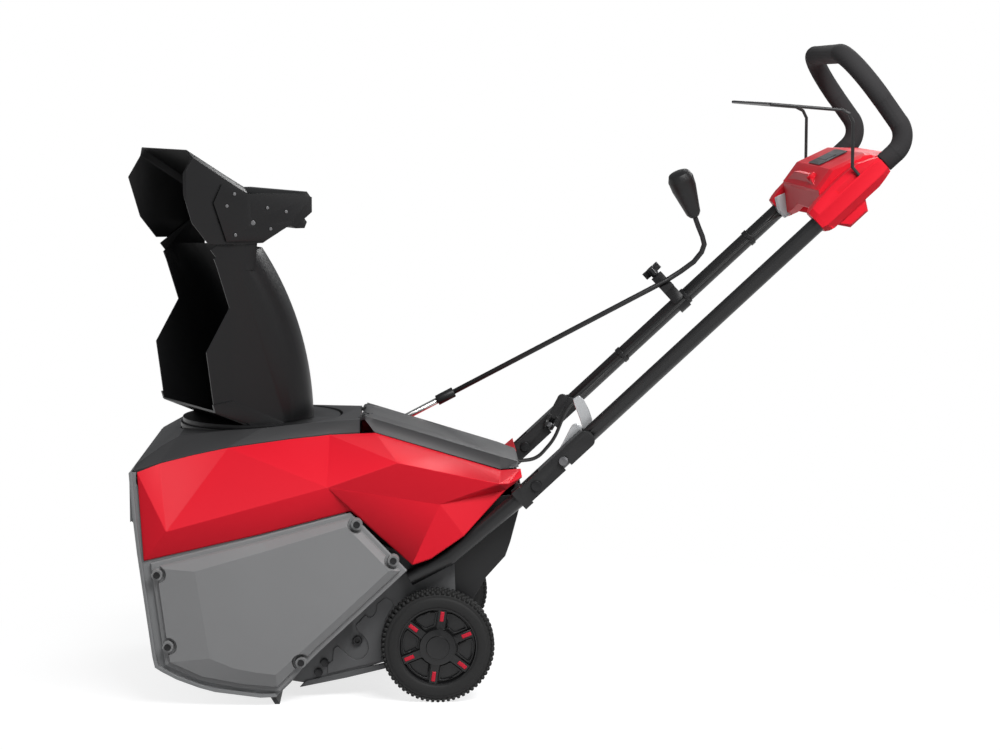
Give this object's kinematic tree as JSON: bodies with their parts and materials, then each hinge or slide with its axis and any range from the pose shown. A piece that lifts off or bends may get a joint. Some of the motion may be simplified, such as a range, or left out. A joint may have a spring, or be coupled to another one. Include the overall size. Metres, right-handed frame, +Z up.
{
  "type": "snow blower",
  "caption": "Battery snow blower with a paddle auger, turning chute with tilting deflector, crank lever, folding handle with bail bar, battery lid and two wheels.",
  "frame": {"origin": "middle of the machine's bounding box on the ground", "axes": "+Z up, -X is the front where the auger takes in snow, +X the operator's side, -Y the machine's left side"},
  "size_m": [1.4013, 0.58, 1.1672],
  "materials": {
    "housing_steel": "satin mid-grey powder coat",
    "cover_plastic": "mid-grey moulded, fine grain",
    "red_plastic": "red moulded, semi-gloss",
    "deck_plastic": "dark grey moulded",
    "black_plastic": "black moulded, satin",
    "black_steel": "satin black powder coat",
    "grey_steel": "dark grey powder coat",
    "bare_steel": "zinc plated",
    "cast_alloy": "cast, as finished",
    "paddle_rubber": "moulded rubber",
    "belt_rubber": "ribbed belt",
    "tyre_rubber": "moulded tread",
    "foam": "closed-cell foam",
    "lens_clear": "frosted clear lens",
    "cable_jacket": "smooth jacket",
    "lever_metal": "satin grey",
    "screw_black": "black oxide",
    "display": "dark display window"
  },
  "bodies": {
    "chassis": {"auger_housing": "housing_steel", "scraper_bar": "black_plastic", "belt_cover": "cover_plastic", "side_cover": "cover_plastic", "frame_plate_left": "grey_steel", "frame_plate_right": "grey_steel", "shroud_left": "red_plastic", "shroud_right": "red_plastic", "top_deck": "deck_plastic", "rear_cover": "black_plastic", "battery_tray": "black_plastic", "battery_left": "red_plastic", "battery_right": "red_plastic", "motor": "cast_alloy", "motor_controller": "cast_alloy", "drive_belt": "belt_rubber", "axle": "bare_steel", "handle_bracket_left": "black_steel", "handle_bracket_right": "black_steel", "chute_base": "black_plastic", "chute_gearbox": "cast_alloy", "cover_screws": "screw_black", "auger_bearings": "black_plastic"},
    "auger": {"auger_shaft": "bare_steel", "auger_spiral": "bare_steel", "auger_paddles": "paddle_rubber", "auger_pulley": "cast_alloy"},
    "motor_rotor": {"motor_pulley": "bare_steel"},
    "chute": {"chute_shell": "black_plastic", "chute_ring_gear": "black_plastic"},
    "pinion": {"chute_pinion": "bare_steel"},
    "deflector": {"deflector_hood": "black_plastic", "deflector_grip": "black_plastic", "deflector_screws": "bare_steel"},
    "trigger": {"deflector_trigger": "black_plastic"},
    "chute_lever": {"lever_shaft": "bare_steel", "lever_coupling": "black_plastic", "lever_rod": "black_steel", "lever_knob": "black_plastic"},
    "handle": {"handle_tube": "black_steel", "clamp_studs": "bare_steel", "foam_grip": "foam", "switch_housing": "red_plastic", "display_panel": "display", "light_lenses": "lens_clear", "rod_bracket": "black_plastic", "harness_cables": "cable_jacket"},
    "bail_bar": {"bail": "black_steel"},
    "button": {"start_button": "black_plastic"},
    "cam_left": {"cam_lever_left": "lever_metal"},
    "cam_right": {"cam_lever_right": "lever_metal"},
    "wing_knob": {"clamp_knob": "black_plastic"},
    "lid": {"battery_lid": "deck_plastic"},
    "wheel_left": {"tyre_left": "tyre_rubber", "wheel_rim_left": "black_plastic", "wheel_inserts_left": "red_plastic"},
    "wheel_right": {"tyre_right": "tyre_rubber", "wheel_rim_right": "black_plastic", "wheel_inserts_right": "red_plastic"}
  },
  "joints": [
    {"name": "auger_spin", "type": "hinge", "parent": "chassis", "child": "auger", "pos_m": [-0.52, 0, 0.13], "axis": [0, 1, 0], "continuous": true},
    {"name": "motor_spin", "type": "hinge", "parent": "chassis", "child": "motor_rotor", "pos_m": [-0.302, -0.2748, 0.262], "axis": [0, 1, 0], "continuous": true},
    {"name": "chute_turn", "type": "hinge", "parent": "chassis", "child": "chute", "pos_m": [-0.461, 0, 0.48], "axis": [0, 0, 1], "range_deg": [-128.8, 71.2]},
    {"name": "pinion_spin", "type": "hinge", "parent": "chassis", "child": "pinion", "pos_m": [-0.32244, 0.08, 0.441], "axis": [0, 0, 1], "range_deg": [-213.6, 386.4]},
    {"name": "chute_lever_turn", "type": "hinge", "parent": "chassis", "child": "chute_lever", "pos_m": [-0.267, 0.131, 0.423], "axis": [0.8872, 0.0986, 0.4507], "range_deg": [-64.4, 35.6]},
    {"name": "deflector_tilt", "type": "hinge", "parent": "chute", "child": "deflector", "pos_m": [-0.52234, -0.03372, 0.85], "axis": [0.4818, -0.8763, 0], "range_deg": [0, 45]},
    {"name": "trigger_squeeze", "type": "hinge", "parent": "deflector", "child": "trigger", "pos_m": [-0.45399, 0.00385, 0.85], "axis": [0.4818, -0.8763, 0], "range_deg": [0, 9], "stiffness_Nm_per_rad": 0.5},
    {"name": "handle_fold", "type": "hinge", "parent": "chassis", "child": "handle", "pos_m": [0.038, 0, 0.39], "axis": [0, 1, 0], "range_deg": [0, 65], "deforming": ["harness_cables"]},
    {"name": "bail_squeeze", "type": "hinge", "parent": "handle", "child": "bail_bar", "pos_m": [0.60964, 0, 0.92803], "axis": [0, 1, 0], "range_deg": [0, 38], "stiffness_Nm_per_rad": 1},
    {"name": "start_press", "type": "slide", "parent": "handle", "child": "button", "axis": [0.6807, 0, -0.7325], "range_m": [0, 0.003], "stiffness_N_per_m": 300},
    {"name": "cam_left_swing", "type": "hinge", "parent": "handle", "child": "cam_left", "pos_m": [0.08584, -0.2055, 0.43445], "axis": [-0.8902, 0, 0.4555], "range_deg": [0, 100]},
    {"name": "cam_right_swing", "type": "hinge", "parent": "handle", "child": "cam_right", "pos_m": [0.08584, 0.2055, 0.43445], "axis": [0.8902, 0, -0.4555], "range_deg": [0, 100]},
    {"name": "wing_knob_turn", "type": "hinge", "parent": "handle", "child": "wing_knob", "pos_m": [0.30189, 0.225, 0.71713], "axis": [-0.6807, 0, 0.7325], "continuous": true},
    {"name": "lid_open", "type": "hinge", "parent": "chassis", "child": "lid", "pos_m": [-0.268, 0, 0.489], "axis": [0, -1, 0], "range_deg": [0, 75]},
    {"name": "wheel_left_roll", "type": "hinge", "parent": "chassis", "child": "wheel_left", "pos_m": [-0.137, -0.24, 0.1015], "axis": [0, 1, 0], "continuous": true},
    {"name": "wheel_right_roll", "type": "hinge", "parent": "chassis", "child": "wheel_right", "pos_m": [-0.137, 0.24, 0.1015], "axis": [0, 1, 0], "continuous": true}
  ],
  "couplings": [
    {"joint": "motor_spin", "follows": "auger_spin", "ratio": 2.8667},
    {"joint": "pinion_spin", "follows": "chute_turn", "ratio": -3},
    {"joint": "chute_lever_turn", "follows": "chute_turn", "ratio": 0.5}
  ]
}
